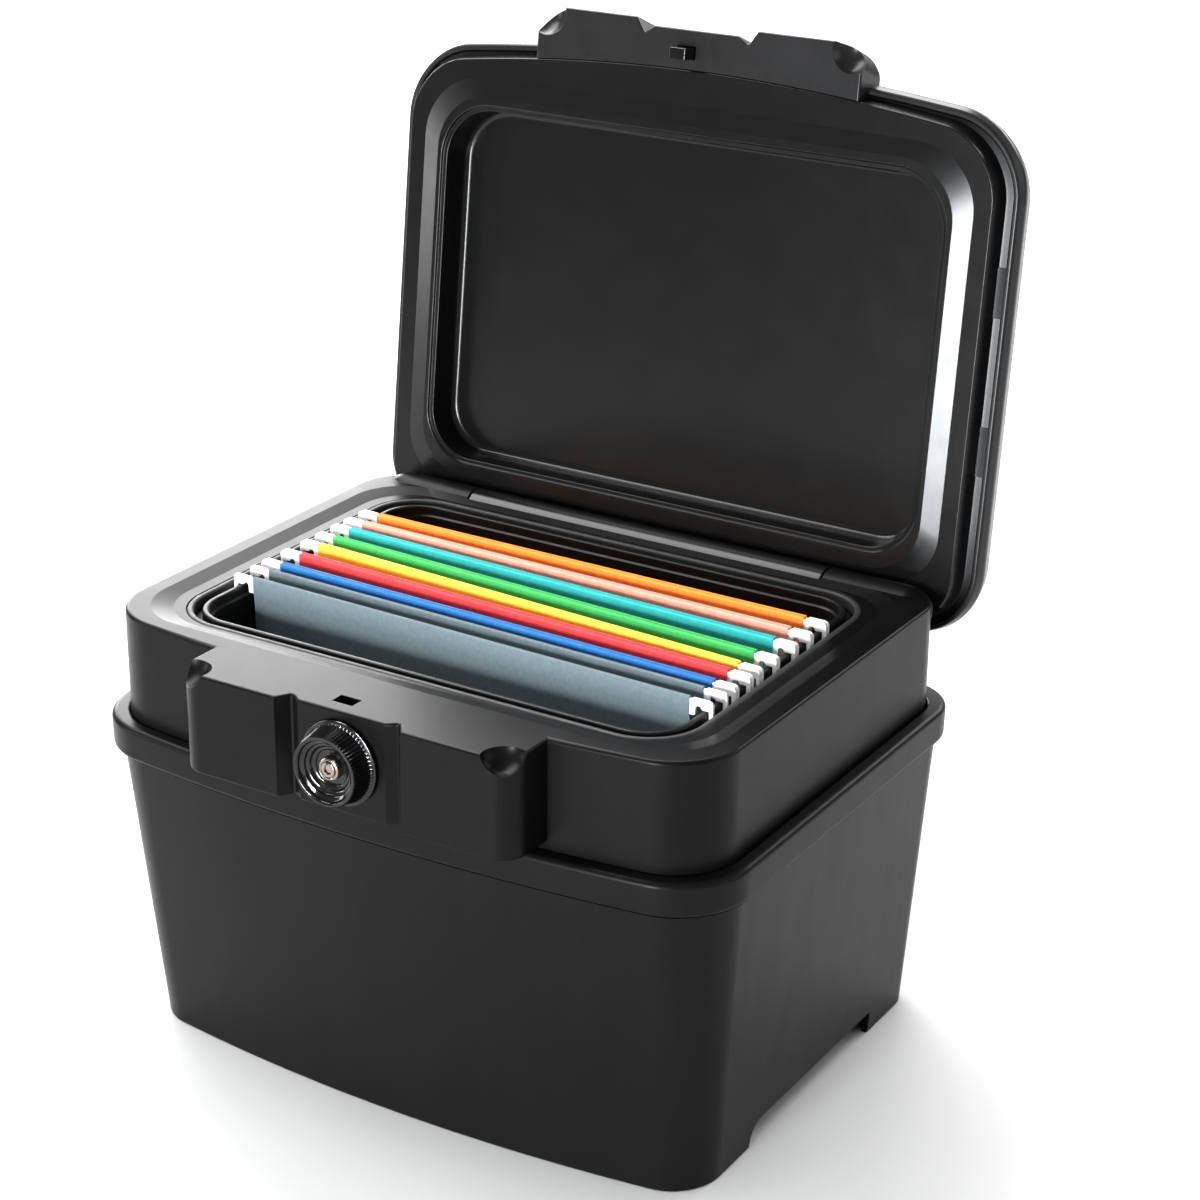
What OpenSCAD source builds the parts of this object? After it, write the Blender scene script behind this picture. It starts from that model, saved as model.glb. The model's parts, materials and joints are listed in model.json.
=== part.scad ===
// Fire-resistant document chest with hanging folders.
// Frame: +X to the right, -Y to the front, +Z up, ground at z = 0.

/* [Chest] */
// Half width of the tub where it stands on the ground
tub_foot_w = 190; // [186:1:194]
// Half width of the tub just under its lip
tub_top_w = 204; // [202:1:205]
// Height of the underside of the tub lip
lip_z = 182; // [176:1:186]
// Height of the rolled tub lip
lip_h = 21; // [18:1:22]
// Height of the collar deck above the ground
deck_z = 267; // [265:1:269]
// How far the front bows out in plan
front_bow = 15; // [10:1:18]
// Height of the arch between the feet
arch_h = 15; // [8:1:18]

/* [Lid] */
// Angle that the lid has been opened by
lid_open = 96.9; // [0:0.1:96.9]
// Height of the lid above the deck
lid_h = 52; // [46:1:60]

/* [Lock] */
// Radius of the fluted knob rim
knob_r = 20; // [17:0.5:21]
// Angle of the knob, 0 is unlatched and 90 is latched
knob_turn = 0; // [0:1:90]
// Number of flutes round the knob
flutes = 72; // [24:2:80]

/* [Folders] */
// Width of a folder's paper
folder_w = 298.4; // [290:0.2:299]
// Height of a folder
folder_h = 234; // [200:1:235]
// Number of hanging folders
folder_count = 8; // [1:1:8]

/* [Hidden] */
$fn = 48;
eps = 0.01;
frame_y = -11.38;       // moves the model so that its box is centred on y = 0
wall = 4;
collar_w = 199;         // half width of the collar
collar_f = -143.3;      // front of the collar at its corners
collar_b = 138.5;       // rear of the collar
hinge_y = 129;
hinge_z = 256;
barrel_r = 14;
barrel_half = 124.8;
knuckle_in = 125.6;
knuckle_out = 178;
pin_r = 3;
run = 0.05;             // radial clearance of a running fit
ridge_z = 264.3;        // top of the rail round the mouth
hand_r = 13;            // radius of the hole for the lock bush
house_w = 109.5;        // half width of the latch housing
house_y = -188.4;
panel_y = -184.4;
house_z = 207.5;
plate_y = -169.1;       // front of the latch plate
knob_z = 238;
bush_end = -176.9;      // inner end of the lock bush
lock_r = 6.5;           // radius of the lock cylinder
plug_r = 4.6;
cam_throw = 7;          // from the knob's axis to the cam's pin
hook_y = -170.7;        // line of the hook's screws
bolt_back = cam_throw * (sin(45) - sin(knob_turn - 45));    // how far the bolt is drawn back
rail_top = ridge_z;
bar_top = 271;
// Each folder: y of its rear bar at the left end and at the right end, and the gap to its front bar
folders = [
    [-52, -60, 14.5], [-38.5, -48, 2.6], [-20, -31.5, 2.6], [-1.5, -20, 2.6],
    [13.5, -1.5, 2.6], [29.5, 20, 2.6], [43, 37.5, 2.6], [58.5, 56, 2.6]
];
folder_colours = ["slategray", "dodgerblue", "red", "gold", "limegreen", "darkturquoise", "salmon", "darkorange"];

// ---- outlines and shells ----

function bowed(p, w, bow) = [p[0], p[1] - bow * (1 - pow(p[0] / w, 2))];

// Rounded rectangle with a bowed front: half width, front, rear, front and rear corner radii, bow
function outline(w, f, b, rf, rb, bow, n = 8) = concat(
    [for (i = [0:n]) let (a = 90 * i / n) [w - rb + rb * cos(a), b - rb + rb * sin(a)]],
    [for (i = [0:n]) let (a = 90 + 90 * i / n) [-w + rb + rb * cos(a), b - rb + rb * sin(a)]],
    [for (i = [0:n]) let (a = 180 + 90 * i / n) bowed([-w + rf + rf * cos(a), f + rf + rf * sin(a)], w, bow)],
    [for (i = [1:5]) bowed([(w - rf) * (i / 3 - 1), f], w, bow)],
    [for (i = [0:n]) let (a = 270 + 90 * i / n) bowed([w - rf + rf * cos(a), f + rf + rf * sin(a)], w, bow)]
);

function raised(points, z) = [for (p = points) [p[0], p[1], z]];

// Solid through a stack of rings that all have the same number of points
module loft(rings) {
    m = len(rings[0]);
    top = len(rings) - 1;
    polyhedron(
        points = [for (r = rings) each r],
        faces = concat(
            [[for (i = [0:m - 1]) i]],
            [for (k = [0:top - 1], i = [0:m - 1]) let (j = (i + 1) % m)
                each [[k * m + i, (k + 1) * m + i, (k + 1) * m + j], [k * m + i, (k + 1) * m + j, k * m + j]]],
            [[for (i = [m - 1:-1:0]) top * m + i]]
        )
    );
}

module slab(points, z0, z1) {
    translate([0, 0, z0]) linear_extrude(z1 - z0) polygon(points);
}

module band(outer, inner, z0, z1) {
    difference() {
        slab(outer, z0, z1);
        slab(inner, z0 - 1, z1 + 1);
    }
}

module rod_x(r, x0, x1) {
    translate([x0, 0, 0]) rotate([0, 90, 0]) cylinder(r = r, h = x1 - x0);
}

module rod_y(r, y0, y1) {
    translate([0, y0, 0]) rotate([-90, 0, 0]) cylinder(r = r, h = y1 - y0);
}

module at_hinge() { translate([0, hinge_y, hinge_z]) children(); }
module at_knob() { translate([0, 0, knob_z]) children(); }
module both_sides() { children(); mirror([1, 0, 0]) children(); }

// Opens the lid from its closed place
module lid_pose() {
    translate([0, hinge_y, hinge_z]) rotate([-lid_open, 0, 0]) translate([0, -hinge_y, -hinge_z]) children();
}

// Turns what the knob carries
module knob_pose() {
    translate([0, 0, knob_z]) rotate([0, knob_turn, 0]) translate([0, 0, -knob_z]) children();
}

module to_frame() { translate([0, frame_y, 0]) children(); }

// ---- base ----

foot_line = outline(tub_foot_w, -129.3, 138, 26, 22, front_bow + 1);
tub_line = outline(tub_top_w, -145, 144, 34, 30, front_bow + 2);
foot_in = outline(tub_foot_w - wall, -125.3, 134, 22, 18, front_bow + 1);
tub_in = outline(tub_top_w - wall, -141, 140, 30, 26, front_bow + 2);
lip_line = outline(209, -152, 150, 39, 35, front_bow + 1);
seat_line = outline(200.8, -145.1, 140.4, 36, 31, front_bow);
ledge_line = outline(192, -136.3, 131.5, 27, 22, front_bow);
bead_line = outline(200.6, -144.9, 140.2, 36, 31, front_bow);
seat_z = lip_z + 8;       // ledge inside the lip that the collar stands on
collar_line = outline(collar_w, collar_f, collar_b, 34, 29, front_bow);
collar_in = outline(collar_w - wall, collar_f + wall, collar_b - wall, 30, 25, front_bow);
ramp_top = outline(187.5, -138.4, 120.5, 38, 34, 2);
ramp_foot = outline(177.6, -130, 113.5, 38, 32, 0);
gasket_out = outline(169.4, -127.6, 112.6, 36, 34, 0);
gasket_in = outline(165, -123.2, 108.2, 32, 30, 0);
rail_out = outline(160.2, -118.8, 103.4, 28, 26, 0);
mouth = outline(157.5, -116, 100.5, 24, 22, 0);
bin_in = outline(155, -113.5, 98, 22, 20, 0);
ramp_under = outline(191, -141, 124, 38, 34, 2);
deck_under = 255;         // underside of the deck below the gasket groove
floor_z = 34;

module outer_tub() color([0.09, 0.09, 0.095]) {
    difference() {
        union() {
            loft([raised(foot_line, 0), raised(tub_line, lip_z)]);
            slab(lip_line, lip_z, lip_z + lip_h);
        }
        loft([raised(foot_in, arch_h + wall), raised(tub_in, lip_z)]);
        slab(ledge_line, lip_z - 1, seat_z + 1);
        slab(seat_line, seat_z, lip_z + lip_h + 1);
        translate([0, 0, -1]) loft([raised(foot_in, 0), raised(foot_in, arch_h + 1)]);
        side_arch();
    }
}

// Gap under the side walls between the front and rear feet
module side_arch() {
    translate([-250, -69, -1]) cube([500, 147, arch_h + 1 - 8]);
    translate([-250, -61, -1]) cube([500, 139, arch_h + 1]);
    translate([0, -61, arch_h - 8]) rod_x(8, -250, 250);
}

module upper_collar() color([0.1, 0.1, 0.105]) {
    difference() {
        union() {
            collar_walls();
            latch_housing();
            both_sides() base_knuckle();
        }
        at_hinge() rod_x(barrel_r + 0.6, -knuckle_in, knuckle_in);
        translate([-knuckle_in, hinge_y, hinge_z]) cube([2 * knuckle_in, 30, 40]);
        at_hinge() rod_x(pin_r + run, -166, 166);
        translate([-12.3, -175.3, 255]) cube([13.5, 8.7, 20]);
        at_knob() rod_y(hand_r, -190, -170);
        both_sides() translate([103, -184, 270]) sphere(r = 13.5);
        housing_screw_holes();
    }
}

module collar_walls() {
    difference() {
        union() {
            slab(collar_line, seat_z, deck_z);
            slab(bead_line, seat_z, seat_z + 9);
        }
        difference() {
            union() {
                slab(collar_in, seat_z - 1, deck_under);
                band(collar_in, ramp_under, deck_under - 1, deck_z - wall);
            }
            trough(4);
        }
        slab(gasket_in, deck_under - 1, deck_z + 1);
        band(gasket_out, gasket_in, 259, deck_z + 1);
        loft([raised(ramp_foot, deck_z - 2.4), raised(ramp_top, deck_z + eps)]);
        rear_round();
    }
}

// Round the hinge line, with so much added to the barrel's running room
module trough(extra) {
    at_hinge() rod_x(barrel_r + 0.6 + extra, -205, 205);
}

// The rear top edge is rounded about the hinge line so that the lid can swing past it
module rear_round() {
    difference() {
        translate([-250, hinge_y, hinge_z]) cube([500, 40, 40]);
        at_hinge() rod_x(11, -251, 251);
    }
}

module base_knuckle() {
    at_hinge() {
        rod_x(barrel_r, knuckle_in, knuckle_out);
        translate([knuckle_out, 0, 0]) rotate([0, 90, 0]) cylinder(r1 = barrel_r, r2 = 7, h = 13, $fn = 48);
    }
}

housing_plan = [
    [-house_w, -150], [-house_w, -172.4], [-108.3, -178.5], [-104.8, -183.7], [-99.6, -187.2], [-93.5, house_y],
    [-41, house_y], [-34.5, -180.4], [-28.3, panel_y],
    [28.3, panel_y], [34.5, -180.4], [41, house_y],
    [93.5, house_y], [99.6, -187.2], [104.8, -183.7], [108.3, -178.5], [house_w, -172.4], [house_w, -150]
];

module latch_housing() {
    difference() {
        slab(housing_plan, house_z, deck_z);
        translate([-86, -180, house_z - 1]) cube([172, 22, deck_z - house_z - 3]);
        slab(collar_in, house_z - 1, deck_z - wall);
    }
    for (x = [-70, 70], z = [222, 252]) translate([x, 0, z]) rod_y(5, -181, plate_y);
}

module housing_screw_holes() {
    for (x = [-70, 70], z = [222, 252]) translate([x, 0, z]) rod_y(1.7, -178, -160);
}

module inner_liner() color([0.06, 0.055, 0.055]) {
    difference() {
        union() {
            slab(mouth, floor_z - 2.5, 258);
            slab(gasket_in, 255, 258);
            slab(rail_out, 257, ridge_z);
        }
        slab(bin_in, floor_z, 300);
        slab(mouth, 259, 300);
    }
    band(mouth, bin_in, 257, 259 + eps);
}

module base_insulation() color([0.75, 0.73, 0.68]) {
    lower_out = outline(tub_foot_w - 4.6, -124.7, 133.4, 21, 17, front_bow + 1);
    lower_top = outline(tub_top_w - 4.6, -140.4, 139.4, 30, 26, front_bow + 2);
    ledge_in = outline(191.6, -135.9, 131.1, 27, 22, front_bow);
    upper_out = outline(collar_w - 4.5, collar_f + 4.5, collar_b - 4.5, 30, 25, front_bow);
    liner_out = outline(157.9, -116.4, 100.9, 24, 22, 0);
    difference() {
        union() {
            loft([raised(lower_out, arch_h + wall + 0.4), raised(lower_top, lip_z - 0.4)]);
            slab(ledge_in, lip_z - 1, seat_z + 1);
            slab(upper_out, seat_z + 0.4, deck_under - 0.4);
        }
        slab(liner_out, floor_z - 3, 300);
        trough(4.4);
    }
}

module base_gasket() color([0.12, 0.12, 0.12]) {
    seal_out = outline(169.2, -127.4, 112.4, 36, 34, 0);
    seal_in = outline(165.2, -123.4, 108.4, 32, 30, 0);
    band(seal_out, seal_in, 259, 264.9);
}

module hinge_pins() color("silver") {
    both_sides() at_hinge() rod_x(pin_r, 105.5, 165.5);
}

module hinge_washers() color("whitesmoke") {
    both_sides() at_hinge() difference() {
        rod_x(8, barrel_half + 0.1, knuckle_in - 0.1);
        rod_x(pin_r + run, 120, 130);
    }
}

// ---- lock ----

module lock_bush() color("dimgray") {
    at_knob() difference() {
        union() {
            rod_y(21.5, panel_y - 1.6, panel_y - 0.1);
            rod_y(hand_r - 0.1, panel_y - 1, bush_end);
        }
        rod_y(9, -190, -160);
    }
}

module bush_nut() color("silver") {
    at_knob() difference() {
        translate([0, -179.9, 0]) rotate([-90, 0, 0]) cylinder(r = 18, h = 2.8, $fn = 6);
        rod_y(hand_r - 0.05, -190, -160);
    }
}

module knob() color([0.04, 0.04, 0.045]) {
    knob_pose() at_knob() difference() {
        union() {
            rod_y(24.4, -187.6, -186.2);
            translate([0, -200.5, 0]) rotate([-90, 0, 0]) cylinder(r1 = knob_r + 0.3, r2 = knob_r + 2.5, h = 13.2);
            rod_y(9 - run, -187, bush_end + 0.7);
        }
        translate([0, -201, 0]) rotate([-90, 0, 0]) cylinder(r1 = 16.6, r2 = 10.5, h = 8.5);
        rod_y(lock_r + run, -202, -178);
        rod_y(3 + run, -180, -170);
        for (i = [0:flutes - 1]) rotate([0, i * 360 / flutes, 0]) translate([knob_r + 0.55, -201, 0])
            rotate([0, 0, -9.5]) rod_y(0.55, 0, 13);
    }
}

module lock_cylinder() color("silver") {
    knob_pose() at_knob() difference() {
        rod_y(lock_r, -196.5, -178.2);
        rod_y(plug_r + run, -200, -176);
    }
}

module lock_plug() color("gainsboro") {
    knob_pose() at_knob() difference() {
        union() {
            rod_y(plug_r, -197, -180);
            rod_y(3, -181, -177.5);
        }
        rod_y(2.2, -198, -186);
        translate([-0.9, -198, 0]) cube([1.8, 12, 3.7]);
    }
}

module drive_cam() color("darkgray") {
    knob_pose() at_knob() {
        difference() {
            union() {
                rod_y(11, -176, -173.6);
                rod_y(3, -176.5, -176);
            }
            rod_y(1.6, -180, -170);
        }
        rotate([0, -45, 0]) translate([0, 0, cam_throw]) rod_y(2.2, -174, -168.6);
    }
}

module cam_screw() color("silver") {
    knob_pose() at_knob() {
        rod_y(1.55, -177.4, -173.5);
        rod_y(3, -173.6, -172.6);
    }
}

// Sliding plate whose nose goes over the lip of the hook
module latch_bolt() color("lightsteelblue") {
    translate([-bolt_back, 0, 0]) difference() {
        translate([0, plate_y - 0.3, 0]) rotate([90, 0, 0]) linear_extrude(2.6) polygon([
            [-52, 243], [-14, 243], [-8, 237.5], [11, 237.5], [11, 250.5], [-24, 250.5],
            [-24, 259.6], [-7.6, 259.6], [-10, 262.6], [-34, 262.6], [-34, 252], [-52, 252]
        ]);
        translate([cam_throw * sin(45) - 2.75, -180, knob_z + 2.2]) cube([5.5, 20, 7.6]);
    }
}

module latch_plate() color("gray") {
    difference() {
        translate([-80, plate_y, 214]) cube([160, 1.5, 46]);
        at_knob() rod_y(cam_throw + 3.2, -190, -150);
        for (x = [-70, 70], z = [222, 252]) translate([x, 0, z]) rod_y(1.75, -190, -150);
        translate([-14, -180, 253]) cube([17, 30, 20]);
    }
    translate([-60, plate_y - 3.3, 239.6]) cube([34, 4, 3]);
    translate([-60, plate_y - 3.3, 252.4]) cube([14.5, 4, 3]);
}

module plate_screws() color("silver") {
    for (x = [-70, 70], z = [222, 252]) translate([x, 0, z]) {
        rod_y(1.65, -177, plate_y + 1.6);
        rod_y(3.2, plate_y + 1.5, plate_y + 3.4);
    }
}

// Spring strap that holds the bolt down between the plate's two guides
module bolt_keeper() color("goldenrod") {
    translate([-58, plate_y - 3.9, 238]) cube([11, 0.6, 19]);
}

// ---- lid, drawn closed ----

shell_z = deck_z + 12.4;
lid_top = deck_z + lid_h;
lid_line = outline(208.5, -151.5, 149, 43, 41, front_bow);
recess_wall = outline(171, -122.6, 108, 36, 33, 0);
border_line = outline(197.5, -143.8, 141, 34, 31, front_bow + 2);

module lid_shell() color([0.1, 0.1, 0.105]) {
    lid_pose() both_sides() for (y = [-73, 20]) translate([201.4, y, shell_z]) cube([3.6, 29, 1.8]);
    lid_pose() difference() {
        union() {
            loft([
                raised(lid_line, shell_z),
                raised(outline(211, -154, 150.5, 44, 42, front_bow), shell_z + 8),
                raised(outline(206, -149, 146, 42, 40, front_bow), lid_top - 20),
                raised(outline(195, -138, 137, 40, 38, front_bow - 2), lid_top - 6),
                raised(outline(180, -124, 124, 38, 36, front_bow - 4), lid_top)
            ]);
            tab_block();
        }
        loft([
            raised(outline(204.4, -147.4, 145.2, 38, 37, front_bow), shell_z - 1),
            raised(outline(204.4, -147.4, 145.2, 38, 37, front_bow), shell_z + 9),
            raised(outline(191, -134, 133, 36, 34, front_bow - 2), lid_top - 9),
            raised(outline(178, -122, 121, 34, 32, front_bow - 4), lid_top - 4)
        ]);
        both_sides() translate([103, -184, 264.4]) sphere(r = 13.5);
        translate([-11.4, -174.8, 262]) cube([12.3, 7.6, 12]);
        for (x = [-20.5, 9.5]) translate([x, hook_y, 268.6]) cylinder(r = 1.6, h = 10);
    }
}

// Front tab that covers the latch housing
module tab_block() {
    intersection() {
        difference() {
            slab(housing_tab, deck_z + 0.4, deck_z + 36);
            translate([-102, -180, deck_z + 4]) cube([204, 35, 28]);
            slab(border_line, deck_z, deck_z + 16);
        }
        translate([-120, 0, 0]) rotate([90, 0, 90]) linear_extrude(240) polygon([
            [-192, 260], [-188.6, 270], [-187, 285], [-181, 297], [-172, 303], [-140, 303], [-140, 260]
        ]);
    }
}

housing_tab = [
    [-house_w, -146], [-house_w, -172.4], [-108.3, -178.5], [-104.8, -183.7], [-99.6, -187.2], [-93.5, house_y],
    [-41, house_y], [-34.5, -180.4], [-28.3, panel_y],
    [28.3, panel_y], [34.5, -180.4], [41, house_y],
    [93.5, house_y], [99.6, -187.2], [104.8, -183.7], [108.3, -178.5], [house_w, -172.4], [house_w, -146]
];

module lid_pan() color([0.13, 0.13, 0.135]) {
    lid_pose() {
        difference() {
            union() {
                slab(border_line, deck_z + 0.4, deck_z + 16);
                loft([raised(outline(175.5, -129.5, 112.5, 35, 32, 0), deck_z - 1.6),
                    raised(outline(187, -138.4, 120, 38, 34, 2), deck_z + 0.45)]);
                slab(recess_wall, deck_z, deck_z + 27);
                slab(outline(204.1, -147.1, 144.9, 38, 37, front_bow), shell_z + 2, shell_z + 4);
            }
            difference() {
                slab(outline(195.5, -139.8, 137, 30, 27, front_bow), deck_z + 4.4, deck_z + 40);
                slab(recess_wall, deck_z, deck_z + 27);
            }
            loft([raised(outline(167, -119.6, 105, 33, 30, 0), deck_z - 3),
                raised(outline(165.6, -118.2, 103.6, 32, 29, 0), deck_z + 17.5),
                raised(outline(164, -116.6, 102, 31, 28, 0), deck_z + 21),
                raised(outline(160, -112.6, 98, 28, 25, 0), deck_z + 23.2)]);
            at_hinge() both_sides() rod_x(barrel_r + 0.6, barrel_half, 193);
            at_hinge() rod_x(pin_r + run, -150, 150);
        }
        at_hinge() difference() {
            rod_x(barrel_r, -barrel_half, barrel_half);
            both_sides() rod_x(pin_r + run, 104, 130);
        }
    }
}

module lid_insulation() color([0.75, 0.73, 0.68]) {
    lid_pose() difference() {
        loft([
            raised(outline(194.8, -139, 128, 29, 26, front_bow), deck_z + 5),
            raised(outline(194.8, -139, 130, 29, 26, front_bow), deck_z + 22),
            raised(outline(190, -133, 130, 34, 32, front_bow - 2), lid_top - 10),
            raised(outline(177.5, -121.5, 120.5, 34, 32, front_bow - 4), lid_top - 4.5)
        ]);
        slab(outline(171.4, -123, 108.4, 36, 33, 0), deck_z, deck_z + 27.4);
        at_hinge() rod_x(barrel_r + 5, -200, 200);
    }
}

module lid_hook() color([0.05, 0.05, 0.05]) {
    lid_pose() difference() {
        union() {
            translate([-11, -174.4, 256.2]) cube([5, 6.8, 3]);
            translate([-7, -174.4, 256.2]) cube([7.5, 6.8, 12.8]);
            translate([-11, -174.4, 267.6]) cube([11.5, 6.8, 3.6]);
            translate([-24, -176, 271.1]) cube([37, 10.6, 2.4]);
        }
        for (x = [-20.5, 9.5]) translate([x, hook_y, 270]) cylinder(r = 1.6, h = 10);
    }
}

module hook_screws() color("silver") {
    lid_pose() for (x = [-20.5, 9.5]) translate([x, hook_y, 0]) {
        translate([0, 0, 269]) cylinder(r = 1.5, h = 6);
        translate([0, 0, 273.6]) cylinder(r = 3, h = 1.8);
    }
}

// ---- hanging folders ----

// Puts a folder in its place, with its rear bar along y = 0
module folder_pose(f) {
    translate([0, (f[0] + f[1]) / 2, 0]) rotate([0, 0, atan((f[1] - f[0]) / folder_w)]) children();
}

paper_t = 0.6;
seam_h = 13;
seam_half = 1.2;

// Cross-section of the paper, as y and z, from the front bar at y = -gap to the rear bar at y = 0
function paper_section(gap) = let (m = -gap / 2, low = bar_top - folder_h) [
    [-gap - seam_half, bar_top], [-gap + seam_half, bar_top],
    [-gap + seam_half, bar_top - seam_h], [-gap + paper_t / 2, bar_top - seam_h],
    [m - 0.9, low + paper_t], [m + 0.9, low + paper_t],
    [-paper_t / 2, bar_top - seam_h], [-seam_half, bar_top - seam_h],
    [-seam_half, bar_top], [seam_half, bar_top],
    [seam_half, bar_top - seam_h], [paper_t / 2, bar_top - seam_h - 1],
    [m + 1.5, low], [m - 1.5, low],
    [-gap - paper_t / 2, bar_top - seam_h - 1], [-gap - seam_half, bar_top - seam_h]
];

module folder_paper(k) color(folder_colours[k]) {
    f = folders[k];
    folder_pose(f) difference() {
        translate([-folder_w / 2, 0, 0]) rotate([90, 0, 90]) linear_extrude(folder_w) polygon(paper_section(f[2]));
        for (y = [0, -f[2]]) translate([-folder_w, y - 0.75, bar_top - 11.2]) cube([2 * folder_w, 1.5, 10.6]);
    }
}

// Flat bar with a hook at each end that hangs on the rail
module folder_bar() {
    translate([-152, -0.6, bar_top - 10.8]) cube([304, 1.2, 9.8]);
    both_sides() {
        translate([150, -1, rail_top + 0.2]) cube([13.9, 2, bar_top - 0.6 - rail_top - 0.2]);
        translate([161.3, -1, 259.6]) cube([2.6, 2, 8]);
    }
}

module folder_bars(k) color("white") {
    f = folders[k];
    folder_pose(f) {
        folder_bar();
        translate([0, -f[2], 0]) folder_bar();
    }
}

to_frame() outer_tub();
to_frame() upper_collar();
to_frame() inner_liner();
to_frame() base_insulation();
to_frame() base_gasket();
to_frame() hinge_pins();
to_frame() hinge_washers();
to_frame() lock_bush();
to_frame() bush_nut();
to_frame() knob();
to_frame() lock_cylinder();
to_frame() lock_plug();
to_frame() drive_cam();
to_frame() cam_screw();
to_frame() latch_bolt();
to_frame() latch_plate();
to_frame() plate_screws();
to_frame() bolt_keeper();
to_frame() lid_shell();
to_frame() lid_pan();
to_frame() lid_insulation();
to_frame() lid_hook();
to_frame() hook_screws();
for (k = [0:folder_count - 1]) {
    to_frame() folder_paper(k);
    to_frame() folder_bars(k);
}
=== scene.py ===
"""Looks of a fire-resistant document chest with hanging folders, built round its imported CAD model."""
import json
import math
import random

import bmesh
import bpy
from mathutils import Matrix, Vector

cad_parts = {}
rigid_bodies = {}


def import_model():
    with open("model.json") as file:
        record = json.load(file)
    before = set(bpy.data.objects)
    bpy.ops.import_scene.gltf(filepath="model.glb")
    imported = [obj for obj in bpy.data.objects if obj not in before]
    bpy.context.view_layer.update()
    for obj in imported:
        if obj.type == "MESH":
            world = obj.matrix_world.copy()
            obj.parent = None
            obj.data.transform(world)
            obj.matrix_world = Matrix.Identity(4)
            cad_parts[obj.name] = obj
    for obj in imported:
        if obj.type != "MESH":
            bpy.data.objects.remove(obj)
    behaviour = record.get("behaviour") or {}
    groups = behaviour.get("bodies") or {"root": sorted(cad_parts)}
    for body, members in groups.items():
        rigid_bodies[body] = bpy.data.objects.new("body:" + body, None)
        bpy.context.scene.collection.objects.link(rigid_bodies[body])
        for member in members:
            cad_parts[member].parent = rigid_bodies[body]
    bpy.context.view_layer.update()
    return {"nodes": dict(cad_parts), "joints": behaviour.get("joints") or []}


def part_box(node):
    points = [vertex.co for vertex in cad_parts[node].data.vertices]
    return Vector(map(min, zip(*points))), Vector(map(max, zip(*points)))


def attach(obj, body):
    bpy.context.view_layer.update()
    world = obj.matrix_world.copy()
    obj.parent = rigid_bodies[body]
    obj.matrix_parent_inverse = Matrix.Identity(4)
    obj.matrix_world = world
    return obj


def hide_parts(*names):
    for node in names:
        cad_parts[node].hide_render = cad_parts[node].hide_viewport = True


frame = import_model()

# ---- the frame ----
# Everything is drawn in millimetres on the chest's own drawing, whose y = 0 is the middle of the mouth.
# The lid is drawn closed. The frame's joints say where that drawing lies and how far the lid is open.

MM = 0.001
joints = {j["name"]: j for j in frame["joints"]}
HINGE = Vector((0, 129, joints["lid_hinge"]["pos_m"][2] / MM))
SHIFT_Y = joints["lid_hinge"]["pos_m"][1] - HINGE.y * MM
LID_OPEN = math.radians(-joints["lid_hinge"]["range_deg"][0])
KNOB_Z = joints["knob_turn"]["pos_m"][2] / MM
GASKET_DROP = 2.1       # how far the gasket's top lies below the deck
DECK_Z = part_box("base_gasket")[1].z / MM + GASKET_DROP
LIP_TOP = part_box("outer_tub")[1].z / MM

TO_FRAME = Matrix.Translation((0, SHIFT_Y, 0)) @ Matrix.Scale(MM, 4)
OPEN_LID = Matrix.Translation(HINGE) @ Matrix.Rotation(-LID_OPEN, 4, "X") @ Matrix.Translation(-HINGE)

# ---- shapes ----

ARC_STEPS = 14
FRONT_STEPS = 30
SMOOTH_ANGLE = math.radians(32)


def outline(w, f, b, rf, rb, bow):
    """Rounded rectangle with a bowed front: half width, front, rear, front and rear corner radii, bow."""

    def arc(cx, cy, r, start):
        angles = [math.radians(start + 90 * i / ARC_STEPS) for i in range(ARC_STEPS + 1)]
        return [(cx + r * math.cos(a), cy + r * math.sin(a)) for a in angles]

    front = arc(rf - w, f + rf, rf, 180)
    front += [((w - rf) * (2 * i / FRONT_STEPS - 1), f) for i in range(1, FRONT_STEPS)]
    front += arc(w - rf, f + rf, rf, 270)
    bowed = [(x, y - bow * (1 - (x / w) ** 2)) for x, y in front]
    return arc(w - rb, b - rb, rb, 0) + arc(rb - w, b - rb, rb, 90) + bowed


def rounded(path, steps=6):
    """Rounds a path of stations. A station is (outline values, z) or (outline values, z, radius)."""
    points = [list(s[0]) + [s[1]] for s in path]
    result = []
    for i, station in enumerate(path):
        here = points[i]
        if len(station) < 3 or i in (0, len(path) - 1):
            result.append(here)
            continue
        legs, units = [], []
        for other in (points[i - 1], points[i + 1]):
            step = [o - h for o, h in zip(other, here)]
            length = math.hypot(step[0], step[-1])
            legs.append([s / length for s in step])
            units.append(Vector((step[0] / length, step[-1] / length)))
        turn = units[0].angle(units[1])
        radius = station[2]
        centre = (units[0] + units[1]).normalized() * radius / math.sin(turn / 2)
        tangent = units[0] * radius / math.tan(turn / 2)
        spoke = tangent - centre
        sweep = (units[1] * radius / math.tan(turn / 2) - centre).angle_signed(spoke)
        area = units[0].x * units[1].y - units[0].y * units[1].x
        for k in range(steps + 1):
            p = centre + Matrix.Rotation(sweep * k / steps, 2) @ spoke
            along = (p.x * units[1].y - p.y * units[1].x) / area
            across = (units[0].x * p.y - units[0].y * p.x) / area
            result.append([h + along * a + across * b for h, a, b in zip(here, legs[0], legs[1])])
    return result


def new_object(name, bm):
    """Object from a bmesh in drawing millimetres."""
    bmesh.ops.recalc_face_normals(bm, faces=bm.faces)
    mesh = bpy.data.meshes.new(name)
    bm.to_mesh(mesh)
    bm.free()
    obj = bpy.data.objects.new(name, mesh)
    bpy.context.scene.collection.objects.link(obj)
    return obj


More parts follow.
